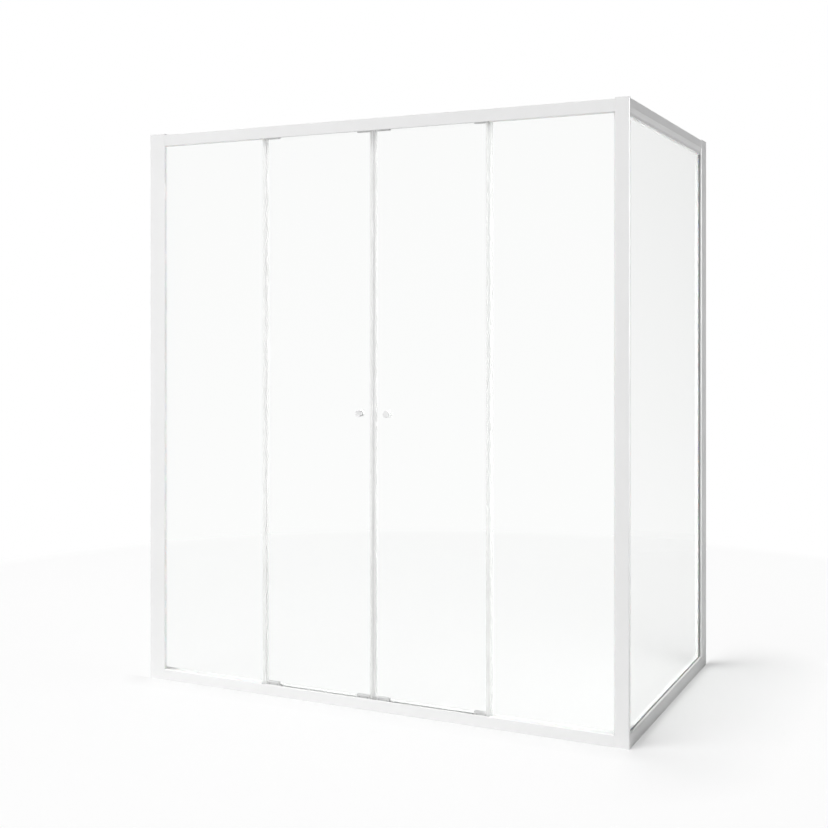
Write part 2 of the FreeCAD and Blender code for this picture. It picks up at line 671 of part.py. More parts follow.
def side_rail(name, end):
    """A side rail, from the flank of the post to the rear stile, cut away round the post."""
    if end == "top":
        face = "side_top_face"
        floor = f"{face} - channel_bite"
        outside = [
            ("0", "edge_ease"),
            ("0", "side_top_flat"),
            ("-side_top_inset", "side_top_flat + side_top_slope"),
            ("-side_top_inset", face),
        ]
        lip_hollow = [
            ("-profile_wall", "side_top_flat"),
            ("-side_lip + profile_wall", f"{floor} - profile_wall"),
        ]
    else:
        face = "side_bottom_face"
        floor = f"{face} - side_bottom_bite"
        outside = [("0", "edge_ease"), ("0", f"{face} - edge_ease"), ("-edge_ease", face)]
        lip_hollow = [
            ("-profile_wall", f"{face} - profile_wall"),
            ("-side_lip + profile_wall", f"{face} - profile_wall"),
            ("-side_lip + profile_wall", f"{floor} - profile_wall"),
        ]
    section = outside + [
        ("-side_lip", face),
        ("-side_lip", floor),
        ("-side_inner", floor),
        ("-side_inner", face),
        ("-side_thick", face),
        ("-side_thick", "0"),
        ("-edge_ease", "0"),
    ]
    port_edge = "-side_thick + profile_wall + port_boss"
    chamber = lip_hollow + [
        ("-side_inner - profile_wall", f"{floor} - profile_wall"),
        ("-side_inner - profile_wall", f"{face} - profile_wall"),
        ("-side_thick + profile_wall", f"{face} - profile_wall"),
        ("-side_thick + profile_wall", "profile_wall + port_boss"),
        (port_edge, "profile_wall + port_boss"),
        (port_edge, "profile_wall"),
        ("-profile_wall", "profile_wall"),
    ]
    loops = [[(u, rail_level(end, v)) for u, v in loop] for loop in (section, chamber)]
    port = (("-port_x", rail_level(end, "port_set")), "port_screw_radius")
    start = "front_face + post_flank"
    rail = extrusion(name, "XZ_Plane", loops, ("right_face", start, at_height(end, "0")),
                     "side_run_end - front_face - post_flank", [port])
    low, high = heights(end, "-overrun", f"{face} + overrun")
    notch = box(name + "Notch", ("right_face - side_thick - overrun", f"{start} - overrun", low),
                ("side_inner_lip + overrun", "frame_deep - post_flank + overrun",
                 f"({high}) - ({low})"))
    return cut(name + "Cut", rail, [notch])


# Caps

def upright_caps():
    """Plates that close the tops of the uprights and of their wall channels."""
    left = ("left_face", "front_face", "frame_tall")
    flange = box("LeftCapFront", left, ("stile_face", "divider_front + profile_wall", "cap_plate"))
    body = box("LeftCapBody", left, ("stile_body", "frame_deep", "cap_plate"))
    node(joined("LeftCap", [flange, body]), "left_stile_cap")
    node(box("RearCap", ("right_face - side_thick", "rear_face - rear_stile_face", "frame_tall"),
             ("side_thick", "rear_stile_face", "cap_plate")), "rear_stile_cap")
    node(extrusion("PostCap", "XY_Plane", [post_outline()],
                   ("right_face", "front_face", "frame_tall"), "cap_plate"), "post_cap")


# Fixed glazing

def fixed_pane(name, side):
    """A fixed front pane, from its upright's channel to its free edge."""
    if side < 0:
        far = "middle_x - stile_edge + stile_bite - glass_standoff"
    else:
        far = "post_edge - middle_x + channel_bite - glass_standoff"
    return block_from_middle(name, side, "doorway_half + fixed_strip_cheek", far,
                             "pane_front", "pane_rear", "bottom_floor",
                             "frame_tall - top_floor - glass_standoff")


def fixed_gaskets(name, side):
    """Wedges in front of a fixed pane and fillers behind it, on three of its edges."""
    if side < 0:
        edge = "middle_x - stile_edge"
        filler_set = "stile_bite - channel_bite + glass_standoff"
        show = "wedge_show"
    else:
        edge = "post_edge - middle_x"
        filler_set = "glass_standoff"
        show = "wedge_show_post"
    upright = [
        (f"{edge} + wedge_root", "profile_wall"),
        (f"{edge} + wedge_root", "pane_front"),
        (f"{edge} - {show}", "pane_front"),
        (f"{edge} - {show}", "pane_front - wedge_tip"),
        (edge, "profile_wall"),
    ]
    low, high = "bottom_rail_face", "frame_tall - top_rail_face"
    wedge = extrusion(name + "UprightWedge", "XY_Plane", [mirrored(upright, side)],
                      ("middle_x", "front_face", low), f"{high} - {low}")
    filler = block_from_middle(name + "UprightFiller", side, f"{edge} + {filler_set}",
                               f"{edge} + {filler_set} + filler_tall",
                               "pane_rear", "divider_front", low, high)
    strips = [wedge, filler]
    near = "doorway_half + fixed_strip_wide"
    far = f"{edge} - {show}"
    start = f"middle_x - ({far})" if side < 0 else f"middle_x + {near}"
    for end in ("bottom", "top"):
        along = [
            ("profile_wall", at_height(end, f"{face_of(end)} - wedge_root")),
            ("pane_front", at_height(end, f"{face_of(end)} - wedge_root")),
            ("pane_front", at_height(end, f"{face_of(end)} + wedge_show")),
            ("pane_front - wedge_tip", at_height(end, f"{face_of(end)} + wedge_show")),
            ("profile_wall", at_height(end, face_of(end))),
        ]
        strips.append(extrusion(f"{name}{end}Wedge", "YZ_Plane", [along],
                                (start, "front_face", "0"), f"{far} - ({near})"))
        low_z, high_z = heights(end, f"{floor_of(end)} + glass_standoff",
                                f"{floor_of(end)} + glass_standoff + filler_tall")
        strips.append(block_from_middle(f"{name}{end}Filler", side, near, far, "pane_rear",
                                        "divider_front", low_z, high_z))
    return group(name, strips)


def fixed_strip(name, side):
    """The strip on the free edge of a fixed pane, with a fin towards the door."""
    cheek_front = "pane_front - fixed_strip_cheek"
    cheek_rear = "pane_rear + fixed_strip_cheek"
    near, far = "doorway_half", "doorway_half + fixed_strip_wide"
    fin = "doorway_half + fin_inset"
    section = [
        (near, cheek_front),
        (far, cheek_front),
        (far, "pane_front"),
        (f"{near} + fixed_strip_cheek", "pane_front"),
        (f"{near} + fixed_strip_cheek", "pane_rear"),
        (far, "pane_rear"),
        (far, cheek_rear),
        (f"{fin} + fin_thick", cheek_rear),
        (f"{fin} + fin_thick", "cheek_front - run_gap"),
        (fin, "cheek_front - run_gap"),
        (fin, cheek_rear),
        (near, cheek_rear),
    ]
    return extrusion(name, "XY_Plane", [mirrored(section, side)],
                     ("middle_x", "front_face", "bottom_rail_face"),
                     "frame_tall - bottom_rail_face - top_rail_face")


def side_pane():
    """The side pane, from the flank of the post into the channels of the other profiles."""
    low = "side_bottom_face - side_bottom_bite"
    start = "front_face + post_flank + glass_standoff"
    end = "side_run_end + channel_bite - glass_standoff"
    high = "frame_tall - side_top_face + channel_bite - glass_standoff"
    return box("SidePane", ("right_face - side_pane_in", start, low),
               ("pane_thick", f"{end} - ({start})", f"{high} - ({low})"))


def side_strips(name, place, start):
    """Strips on one face of the side pane, along the bottom rail, the top rail and the stile."""
    top_edge = "frame_tall - side_top_face"
    upright_start = "side_run_end - side_show"
    upright_low = "side_bottom_face + side_show_low"
    upright_tall = f"{top_edge} - side_show_top - ({upright_low})"
    along = f"{upright_start} - ({start})"
    low = box(name + "Low", (place, start, "side_bottom_face - side_root"),
              ("side_tape", along, "side_root + side_show_low"))
    high = box(name + "High", (place, start, f"{top_edge} - side_show_top"),
               ("side_tape", along, "side_root + side_show_top"))
    upright = box(name + "Upright", (place, upright_start, upright_low),
                  ("side_tape", "side_root + side_show", upright_tall))
    return low, high, upright


def side_gaskets():
    """Dark strips on the outer face of the side pane at the bottom rail and the rear stile, and
    pale ones on its other edges and its inner face, with the tape on the body of the post."""
    low, high, upright = side_strips("SideOuter", "right_face - side_pane_out",
                                     "front_face + post_flank")
    tape = box("PostTape", ("right_face - side_inner", "front_face + post_flank + glass_standoff",
                            "side_bottom_face"),
               ("side_tape", "frame_deep - post_flank - glass_standoff",
                "frame_tall - side_top_face - side_bottom_face"))
    inner = side_strips("SideInner", "right_face - side_inner", "side_run_start")
    node(group("SideDarkGasket", [low, upright]), "side_dark_gasket")
    node(group("SidePaleGasket", [high, *inner, tape]), "side_pale_gasket")


# Fasteners of the frame and door buffers

def frame_screws():
    """Screws from the uprights into the ports of the rails."""
    screws = []
    for end in ("bottom", "top"):
        height = at_height(end, "port_set")
        seats = {
            "LeftFront": (("body_edge - profile_wall", "front_face + port_y", height), "x",
                          "port_screw_grip + profile_wall"),
            "RightFront": (("post_edge + profile_wall", "front_face + port_y", height), "-x",
                           "port_screw_grip + profile_wall"),
            "PostSide": (("right_face - port_x", "front_face + track_wall", height), "y",
                         "port_screw_grip + profile_wall"),
            "RearSide": (("right_face - port_x", "side_run_end + channel_bite + profile_wall",
                          height), "-y", "port_screw_grip + channel_bite + profile_wall"),
        }
        for name, (seat, axis, length) in seats.items():
            screws.append(screw("Frame" + name + end, seat, axis, length, "port_screw_radius",
                                "port_head_radius", "port_head_tall"))
    return group("FrameScrews", screws)


def adjusting_screws():
    """Screws that lock the uprights to the wall channels, with their heads inside."""
    left = ("left_face + adjust_set", "front_face + frame_deep", "0")
    rear = ("right_face - side_thick", "rear_face - adjust_set", "0")
    screws = []
    for name, seat, axis in (("Left", left, "-y"), ("Rear", rear, "x")):
        for index, place in enumerate(adjusting_places(seat)):
            screws.append(screw(f"Adjust{name}{index}", place, axis, "adjust_long",
                                "adjust_radius", "adjust_head", "adjust_head_tall"))
    return group("AdjustingScrews", screws)


def door_buffers():
    """Rubber stops under the web of the top rail, which end the slide of the doors."""
    middle = "(door_rear + arm_rear) / 2"
    buffers = [block_from_middle(f"Buffer{name}", side, "buffer_near", "buffer_near + buffer_long",
                                 f"{middle} - buffer_wide / 2", f"{middle} + buffer_wide / 2",
                                 "frame_tall - profile_wall - buffer_tall",
                                 "frame_tall - profile_wall")
               for name, side in (("Left", -1), ("Right", 1))]
    return group("DoorBuffers", buffers)


# Doors

CARRIERS = {
    "lead": "lead_carrier",
    "back": "back_carrier",
}


def carrier_middle(spot):
    """Middle of a carrier, from the middle of the doorway."""
    return f"{CARRIERS[spot]} + carrier_long / 2"


def from_middle(side, distance):
    """X of a distance from the middle of the doorway, on one side of it."""
    return f"middle_x + {side} * ({distance})"


def carrier_screw_places(side, spot, end, depth):
    """The two screws of a carrier at one depth from the front face."""
    return [(from_middle(side, f"{carrier_middle(spot)} + {hand} * carrier_screw_pitch / 2"),
             f"front_face + {depth}", at_height(end, "carrier_screw_set")) for hand in (-1, 1)]


def door_pane(name, side):
    pane = block_from_middle(name, side, "door_lead + meeting_strip_wide / 2",
                             "door_back - strip_web", "door_front", "door_rear",
                             "pane_edge_set", "frame_tall - pane_edge_set")
    cutters = []
    for spot in CARRIERS:
        for end in ("bottom", "top"):
            places = carrier_screw_places(side, spot, end, "door_front - overrun")
            for index, place in enumerate(places):
                cutters.append(rod(f"{name}{spot}{end}{index}", place, "y",
                                   "carrier_screw_radius + pane_hole_play",
                                   "door_pane_thick + 2 * overrun"))
    knob = (from_middle(side, "knob_x"), "front_face + door_front - overrun", "knob_high")
    cutters.append(rod(name + "Knob", knob, "y", "bush_collar", "door_pane_thick + 2 * overrun"))
    return cut(name + "Cut", pane, cutters)


def meeting_strip(name, side):
    """The strip on the leading edge: a slot for the pane and a pocket for the magnet."""
    near, far = "door_lead", "door_lead + meeting_strip_wide"
    slot = f"{near} + meeting_strip_wide / 2"
    outside = [
        (near, "strip_front + strip_skin"),
        (f"{near} + strip_skin", "strip_front"),
        (far, "strip_front"),
        (far, "door_front"),
        (slot, "door_front"),
        (slot, "door_rear"),
        (far, "door_rear"),
        (far, "strip_rear"),
        (f"{near} + strip_skin", "strip_rear"),
        (near, "strip_rear - strip_skin"),
    ]
    pocket = rectangle(f"{near} + strip_skin", "strip_front + strip_skin",
                       f"{near} + strip_skin + magnet_wide", "strip_rear - strip_skin")
    return extrusion(name, "XY_Plane", [mirrored(outside, side), mirrored(pocket, side)],
                     ("middle_x", "front_face", "strip_low"), "strip_high - strip_low")


def magnet(name, side):
    near = "door_lead + strip_skin"
    return block_from_middle(name, side, near, f"{near} + magnet_wide",
                             "strip_front + strip_skin", "strip_rear - strip_skin",
                             "strip_low", "strip_high")


def back_strip(name, side):
    """The strip on the trailing edge."""
    near, far = "door_back - back_strip_wide", "door_back"
    section = [
        (near, "strip_front"),
        (f"{far} - strip_skin", "strip_front"),
        (far, "strip_front + strip_skin"),
        (far, "strip_rear - strip_skin"),
        (f"{far} - strip_skin", "strip_rear"),
        (near, "strip_rear"),
        (near, "door_rear"),
        (f"{far} - strip_web", "door_rear"),
        (f"{far} - strip_web", "door_front"),
        (near, "door_front"),
    ]
    return extrusion(name, "XY_Plane", [mirrored(section, side)],
                     ("middle_x", "front_face", "strip_low"), "strip_high - strip_low")


def carrier(name, side, spot, end):
    """A carrier: a clip round the edge of the pane with an arm that holds the axle."""
    show = "carrier_show_top" if end == "top" else "carrier_show_bottom"
    tip = f"{face_of(end)} + {show}"
    section = [
        ("cheek_front", "pane_edge_set - carrier_bridge"),
        ("door_rear", "pane_edge_set - carrier_bridge"),
        ("door_rear", "axle_set - carrier_reach"),
        ("arm_rear", "axle_set - carrier_reach"),
        ("arm_rear", f"{tip} - carrier_ease"),
        ("arm_rear - carrier_ease", tip),
        ("door_rear", tip),
        ("door_rear", "pane_edge_set"),
        ("door_front", "pane_edge_set"),
        ("door_front", tip),
        ("cheek_front + carrier_ease", tip),
        ("cheek_front", f"{tip} - carrier_ease"),
    ]
    loop = [(u, at_height(end, v)) for u, v in section]
    near = CARRIERS[spot]
    start = f"middle_x + {near}" if side > 0 else f"middle_x - {near} - carrier_long"
    clip = extrusion(name, "YZ_Plane", [loop], (start, "front_face", "0"), "carrier_long")
    cutters = [rod(f"{name}Screw{i}", place, "y", "carrier_screw_radius",
                   "arm_rear - cheek_front + 2 * overrun")
               for i, place in enumerate(
                   carrier_screw_places(side, spot, end, "cheek_front - overrun"))]
    axle = (from_middle(side, carrier_middle(spot)), "front_face + door_rear - overrun",
            at_height(end, "axle_set"))
    cutters.append(rod(name + "Axle", axle, "y", "axle_radius", "carrier_arm + 2 * overrun"))
    return cut(name + "Cut", clip, cutters)


def wheel(name, side, spot, end):
    """A wheel with a groove that fits over the bead."""
    bore = "axle_radius + axle_play"
    groove_start = "(wheel_wide - bead_wide) / 2 - run_gap"
    groove_end = "(wheel_wide + bead_wide) / 2 + run_gap"
    section = [
        (bore, "0"),
        ("wheel_rim", "0"),
        ("wheel_rim", f"{groove_start} - groove_flare"),
        ("wheel_root", groove_start),
        ("wheel_root", groove_end),
        ("wheel_rim", f"{groove_end} + groove_flare"),
        ("wheel_rim", "wheel_wide"),
        (bore, "wheel_wide"),
    ]
    place = (from_middle(side, carrier_middle(spot)), "front_face + wheel_front",
             at_height(end, "axle_set"))
    return turned(name, section, place)


def axle(name, side, spot, end):
    """An axle pressed into a carrier's arm, with a shoulder and a head beside the wheel."""
    shoulder = "wheel_front - door_rear - run_gap"
    head = "wheel_rear - door_rear + run_gap"
    section = [
        ("0", "0"),
        ("axle_radius", "0"),
        ("axle_radius", "carrier_arm"),
        ("axle_shoulder", "carrier_arm"),
        ("axle_shoulder", shoulder),
        ("axle_radius", shoulder),
        ("axle_radius", head),
        ("axle_head", head),
        ("axle_head", f"{head} + axle_head_thick"),
        ("0", f"{head} + axle_head_thick"),
    ]
    place = (from_middle(side, carrier_middle(spot)), "front_face + door_rear",
             at_height(end, "axle_set"))
    return turned(name, section, place)


def knob(name, side, faces):
    """A knob: a foot on the bush, a drum with eased rims and a shallow dish in its face."""
    section = [
        ("stud_radius", "0"),
        ("knob_neck", "0"),
        ("knob_neck", "knob_neck_tall"),
        ("knob_radius - knob_ease", "knob_neck_tall"),
        ("knob_radius", "knob_neck_tall + knob_ease"),
        ("knob_radius", "knob_proud - knob_ease"),
        ("knob_radius - knob_ease", "knob_proud"),
        ("knob_radius - knob_ease - knob_dish_rim", "knob_proud"),
        ("knob_radius - knob_ease - knob_dish_rim - knob_dish", "knob_proud - knob_dish"),
        ("0", "knob_proud - knob_dish"),
        ("0", "stud_grip"),
        ("stud_radius", "stud_grip"),
    ]
    depth = "door_front - bush_flange" if faces == "-y" else "door_rear + bush_flange"
    place = (from_middle(side, "knob_x"), f"front_face + {depth}", "knob_high")
    return turned(name, section, place, faces)


def knob_stud(name, side):
    place = (from_middle(side, "knob_x"), "front_face + door_front - bush_flange - stud_grip",
             "knob_high")
    return rod(name, place, "y", "stud_radius",
               "door_pane_thick + 2 * bush_flange + 2 * stud_grip")


def knob_bushes(name, side):
    """Two flanged bushes that keep the stud off the pane."""
    section = [
        ("stud_radius", "0"),
        ("bush_radius", "0"),
        ("bush_radius", "bush_flange"),
        ("bush_collar", "bush_flange"),
        ("bush_collar", "bush_flange + bush_collar_tall"),
        ("stud_radius", "bush_flange + bush_collar_tall"),
    ]
    x = from_middle(side, "knob_x")
    outer = turned(name + "Outer", section,
                   (x, "front_face + door_front - bush_flange", "knob_high"))
    inner = turned(name + "Inner", section,
                   (x, "front_face + door_rear + bush_flange", "knob_high"), "-y")
    return group(name, [outer, inner])


def door(hand, side):
    """Every piece of one door."""
    name = hand.capitalize()
    node(door_pane(name + "Pane", side), f"{hand}_door_glass")
    node(meeting_strip(name + "Meeting", side), f"{hand}_meeting_strip")
    node(magnet(name + "Magnet", side), f"{hand}_magnet")
    node(back_strip(name + "Back", side), f"{hand}_back_strip")
    axles = []
    screws = []
    for end in ("top", "bottom"):
        for spot in CARRIERS:
            spot_name = f"{name}{end}{spot}"
            node(carrier(spot_name + "Carrier", side, spot, end), f"{hand}_{end}_{spot}_carrier")
            node(wheel(spot_name + "Wheel", side, spot, end), f"{hand}_{end}_{spot}_wheel")
            axles.append(axle(spot_name + "Axle", side, spot, end))
            seats = carrier_screw_places(side, spot, end, "arm_rear")
            for index, seat in enumerate(seats):
                screws.append(screw(f"{spot_name}Clamp{index}", seat, "-y",
                                    "arm_rear - cheek_front - carrier_screw_short",
                                    "carrier_screw_radius", "carrier_screw_head",
                                    "carrier_screw_head_tall"))
    node(group(name + "Axles", axles), f"{hand}_axles")
    node(group(name + "CarrierScrews", screws), f"{hand}_carrier_screws")
    node(knob(name + "OuterKnob", side, "-y"), f"{hand}_outer_knob")
    node(knob(name + "InnerKnob", side, "y"), f"{hand}_inner_knob")
    node(knob_stud(name + "Stud", side), f"{hand}_knob_stud")
    node(knob_bushes(name + "Bushes", side), f"{hand}_knob_bushes")


def build():
    """The whole screen."""
    node(left_wall_channel(), "wall_profile_left")
    node(left_stile(), "left_stile")
    node(corner_post(), "corner_post")
    node(rear_stile(), "rear_stile")
    node(rear_wall_channel(), "wall_profile_rear")
    node(front_rail("FrontTop", "top"), "front_top_rail")
    node(front_rail("FrontBottom", "bottom"), "front_bottom_rail")
    node(side_rail("SideTop", "top"), "side_top_rail")
    node(side_rail("SideBottom", "bottom"), "side_bottom_rail")
    upright_caps()
    for hand, side in (("left", -1), ("right", 1)):
        name = hand.capitalize()
        node(fixed_pane(name + "FixedPane", side), f"{hand}_fixed_glass")
        node(fixed_gaskets(name + "Gaskets", side), f"{hand}_gaskets")
        node(fixed_strip(name + "FixedStrip", side), f"{hand}_fixed_strip")
    node(side_pane(), "side_glass")
    side_gaskets()
    node(frame_screws(), "frame_screws")
    node(adjusting_screws(), "adjusting_screws")
    node(door_buffers(), "door_buffers")
    for hand, side in (("left", -1), ("right", 1)):
        door(hand, side)


build()
doc.recompute()

faults = [thing.Name for thing in doc.Objects if {"Invalid", "Error"} & set(thing.State)]
faults += [thing.Label for thing in nodes if thing.Shape.isNull() or not thing.Shape.isValid()]
if faults:
    raise RuntimeError("failed: " + ", ".join(faults))

os.makedirs("parts", exist_ok=True)
for thing in nodes:
    thing.Shape.exportStep("parts/%s.step" % thing.Label)
print(len(nodes), "sub-parts written")
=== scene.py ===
import math

import bmesh
import bpy
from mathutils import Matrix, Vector


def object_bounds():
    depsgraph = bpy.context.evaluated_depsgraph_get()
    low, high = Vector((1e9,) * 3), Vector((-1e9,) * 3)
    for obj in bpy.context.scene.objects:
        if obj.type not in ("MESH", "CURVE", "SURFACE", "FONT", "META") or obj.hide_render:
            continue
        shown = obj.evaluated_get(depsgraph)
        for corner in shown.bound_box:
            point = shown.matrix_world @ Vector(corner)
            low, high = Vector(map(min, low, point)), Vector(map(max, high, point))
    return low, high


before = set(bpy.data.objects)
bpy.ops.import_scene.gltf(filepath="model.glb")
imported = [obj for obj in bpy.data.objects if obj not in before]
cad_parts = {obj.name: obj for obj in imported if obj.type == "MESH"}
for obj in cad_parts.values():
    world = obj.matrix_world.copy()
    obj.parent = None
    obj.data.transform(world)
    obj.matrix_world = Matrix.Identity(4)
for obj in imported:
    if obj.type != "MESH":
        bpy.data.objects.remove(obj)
cad_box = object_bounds()

# Looks of the corner shower screen: white powder coated frame, clear panes, grey carriers,
# milky seals and white knobs. All lengths are metres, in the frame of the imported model. MM
# turns millimetres into metres.
MM = 0.001

# The photograph's frame and the camera that fits it
PHOTO_PIXELS = 828
FOCAL_PIXELS = 1240.95
HORIZON_ROW = 325.23
SENSOR_WIDE = 36.0
CAMERA_SPOT = (1.8054, -3.9290, 1.2035)
CAMERA_TURN = math.radians(25.58)


def aim_camera():
    """The camera stands level at the photograph's angle, with its shift for the horizon."""
    data = bpy.data.cameras.new("front_right")
    data.sensor_width = SENSOR_WIDE
    data.lens = FOCAL_PIXELS / PHOTO_PIXELS * SENSOR_WIDE
    data.shift_y = (HORIZON_ROW - PHOTO_PIXELS / 2) / PHOTO_PIXELS
    camera = bpy.data.objects.new("front_right", data)
    camera.location = CAMERA_SPOT
    camera.rotation_euler = (math.pi / 2, 0, CAMERA_TURN)
    bpy.context.scene.collection.objects.link(camera)
    bpy.context.scene.camera = camera


# Building node trees

def put(tree, kind, values=None, links=None, **properties):
    """A shader node with its properties, its own socket values and its links."""
    node = tree.nodes.new("ShaderNode" + kind)
    for name, value in properties.items():
        setattr(node, name, value)
    for name, value in (values or {}).items():
        node.inputs[name].default_value = value
    for name, source in (links or {}).items():
        tree.links.new(source, node.inputs[name])
    return node


SOCKETS = {"value": "NodeSocketFloat", "colour": "NodeSocketColor", "vector": "NodeSocketVector"}


def effect(name, takes, gives):
    """A node group with named sockets. takes maps a name to its kind and its value."""
    tree = bpy.data.node_groups.new(name, "ShaderNodeTree")
    for socket, (kind, value) in takes.items():
        made = tree.interface.new_socket(socket, in_out="INPUT", socket_type=SOCKETS[kind])
        made.default_value = value
    for socket, kind in gives.items():
        tree.interface.new_socket(socket, in_out="OUTPUT", socket_type=SOCKETS[kind])
    return tree, tree.nodes.new("NodeGroupInput"), tree.nodes.new("NodeGroupOutput")


def math_node(tree, operation, first, second):
    """A Math node of two inputs, each a socket or a number."""
    node = put(tree, "Math", operation=operation)
    for place, value in enumerate((first, second)):
        if isinstance(value, (int, float)):
            node.inputs[place].default_value = value
        else:
            tree.links.new(value, node.inputs[place])
    return node.outputs[0]


def lumps_group():
    """Soft lumps of a given size, such as the orange peel of powder coat."""
    tree, start, end = effect("lumps", {"Size": ("value", 0.002)}, {"Height": "value"})
    place = put(tree, "TexCoord").outputs["Object"]
    scale = math_node(tree, "DIVIDE", 1.0, start.outputs["Size"])
    noise = put(tree, "TexNoise", {"Detail": 2.0, "Roughness": 0.45},
                {"Vector": place, "Scale": scale})
    tree.links.new(noise.outputs["Fac"], end.inputs["Height"])
    return tree


def cloud_group():
    """A value that drifts between two ends over patches of a given size."""
    tree, start, end = effect(
        "cloud",
        {"Size": ("value", 0.2), "Low": ("value", 0.3), "High": ("value", 0.4)},
        {"Value": "value"})
    place = put(tree, "TexCoord").outputs["Object"]
    scale = math_node(tree, "DIVIDE", 1.0, start.outputs["Size"])
    noise = put(tree, "TexNoise", {"Detail": 3.0, "Roughness": 0.55},
                {"Vector": place, "Scale": scale})
    spread = put(tree, "MapRange", {"From Min": 0.3, "From Max": 0.7},
                 {"Value": noise.outputs["Fac"], "To Min": start.outputs["Low"],
                  "To Max": start.outputs["High"]})
    tree.links.new(spread.outputs["Result"], end.inputs["Value"])
    return tree


def tone_group():
    """A colour that drifts to a second one over patches of a given size."""
    tree, start, end = effect(
        "tone",
        {"Size": ("value", 0.3), "Colour": ("colour", (1, 1, 1, 1)),
         "Other": ("colour", (1, 1, 1, 1))},
        {"Colour": "colour"})
    place = put(tree, "TexCoord").outputs["Object"]
    scale = math_node(tree, "DIVIDE", 1.0, start.outputs["Size"])
    noise = put(tree, "TexNoise", {"Detail": 4.0, "Roughness": 0.6},
                {"Vector": place, "Scale": scale})
    spread = put(tree, "MapRange", {"From Min": 0.3, "From Max": 0.7},
                 {"Value": noise.outputs["Fac"]})
    mix = put(tree, "Mix", data_type="RGBA")
    tree.links.new(spread.outputs["Result"], mix.inputs[0])
    tree.links.new(start.outputs["Colour"], mix.inputs[6])
    tree.links.new(start.outputs["Other"], mix.inputs[7])
    tree.links.new(mix.outputs[2], end.inputs["Colour"])
    return tree


def rub_group():
    """A mask of the edges, where hands and cloths rub the finish."""
    tree, start, end = effect(
        "rub", {"Reach": ("value", 0.001), "Patch": ("value", 0.05)}, {"Mask": "value"})
    rounded = put(tree, "Bevel", links={"Radius": start.outputs["Reach"]}, samples=4)
    true = put(tree, "NewGeometry")
    bend = put(tree, "VectorMath", operation="DOT_PRODUCT")
    tree.links.new(rounded.outputs["Normal"], bend.inputs[0])
    tree.links.new(true.outputs["Normal"], bend.inputs[1])
    edge = put(tree, "MapRange",
               {"From Min": 0.995, "From Max": 0.85, "To Min": 0.0, "To Max": 1.0},
               {"Value": bend.outputs["Value"]})
    place = put(tree, "TexCoord").outputs["Object"]
    scale = math_node(tree, "DIVIDE", 1.0, start.outputs["Patch"])
    noise = put(tree, "TexNoise", {"Detail": 3.0}, {"Vector": place, "Scale": scale})
    patch = put(tree, "MapRange", {"From Min": 0.35, "From Max": 0.65},
                {"Value": noise.outputs["Fac"]})
    mask = math_node(tree, "MULTIPLY", edge.outputs["Result"], patch.outputs["Result"])
    tree.links.new(mask, end.inputs["Mask"])
    return tree


def drawn_group():
    """Fine lines along a drawn or extruded piece. Pitch is the size across each axis."""
    tree, start, end = effect(
        "drawn", {"Pitch": ("vector", (0.0005, 0.0005, 1.0))}, {"Height": "value"})
    place = put(tree, "TexCoord").outputs["Object"]
    spread = put(tree, "VectorMath", operation="DIVIDE")
    tree.links.new(place, spread.inputs[0])
    tree.links.new(start.outputs["Pitch"], spread.inputs[1])
    noise = put(tree, "TexNoise", {"Scale": 1.0, "Detail": 2.0},
                {"Vector": spread.outputs["Vector"]})
    tree.links.new(noise.outputs["Fac"], end.inputs["Height"])
    return tree


# Share of a face's normal that runs through the pane: the ground edges lie below the first
# value and the faces above the second
EDGE_BELOW, FACE_ABOVE = 0.6, 0.8


def sides_group():
    """A value that differs between the faces of a pane and its ground edges. Across is the
    direction through the pane."""
    tree, start, end = effect(
        "sides",
        {"Across": ("vector", (0.0, 1.0, 0.0)), "Face": ("value", 1.0), "Edge": ("value", 0.1)},
        {"Value": "value"})
    true = put(tree, "NewGeometry").outputs["True Normal"]
    through = put(tree, "VectorMath", operation="DOT_PRODUCT")
    tree.links.new(true, through.inputs[0])
    tree.links.new(start.outputs["Across"], through.inputs[1])
    share = math_node(tree, "ABSOLUTE", through.outputs["Value"], 0.0)
    spread = put(tree, "MapRange", {"From Min": EDGE_BELOW, "From Max": FACE_ABOVE},
                 {"Value": share, "To Min": start.outputs["Edge"],
                  "To Max": start.outputs["Face"]})
    tree.links.new(spread.outputs["Result"], end.inputs["Value"])
    return tree


EFFECTS = {"lumps": lumps_group(), "cloud": cloud_group(), "tone": tone_group(),
           "rub": rub_group(), "drawn": drawn_group(), "sides": sides_group()}


def use(tree, name, values=None, links=None):
    """An effect placed in a material with its own values."""
    node = put(tree, "Group", node_tree=EFFECTS[name])
    for socket, value in (values or {}).items():
        node.inputs[socket].default_value = value
    for socket, source in (links or {}).items():
        tree.links.new(source, node.inputs[socket])
    return node.outputs[0]


def finish(name, values):
    """An empty material with a Principled shader on its output."""
    material = bpy.data.materials.new(name)
    material.use_nodes = True
    tree = material.node_tree
    tree.nodes.clear()
    shader = put(tree, "BsdfPrincipled", values)
    output = put(tree, "OutputMaterial", links={"Surface": shader.outputs[0]})
    return material, tree, shader, output


def bumped(tree, shader, height, strength, distance):
    """A height on the shader's normal. The distance is in metres."""
    bump = put(tree, "Bump", {"Strength": strength, "Distance": distance}, {"Height": height})
    tree.links.new(bump.outputs["Normal"], shader.inputs["Normal"])


def rub_in(tree, colour, rubbed, reach, patch):
    """A colour that turns to its rubbed tone along the edges."""
    mask = use(tree, "rub", {"Reach": reach, "Patch": patch})
    mix = put(tree, "Mix", data_type="RGBA")
    tree.links.new(mask, mix.inputs[0])
    tree.links.new(colour, mix.inputs[6])
    mix.inputs[7].default_value = rubbed
    return mix.outputs[2]


# Finishes. A tone drifts between two colours over patches of its size. A cloud does the same
# for a value, here the roughness.

# How much of a ground pane edge shows, the rest lets the light straight through
EDGE_ALPHA = 0.12
# How much of the outer skin of a seal shows
SEAL_ALPHA_LOW, SEAL_ALPHA_HIGH = 0.48, 0.56


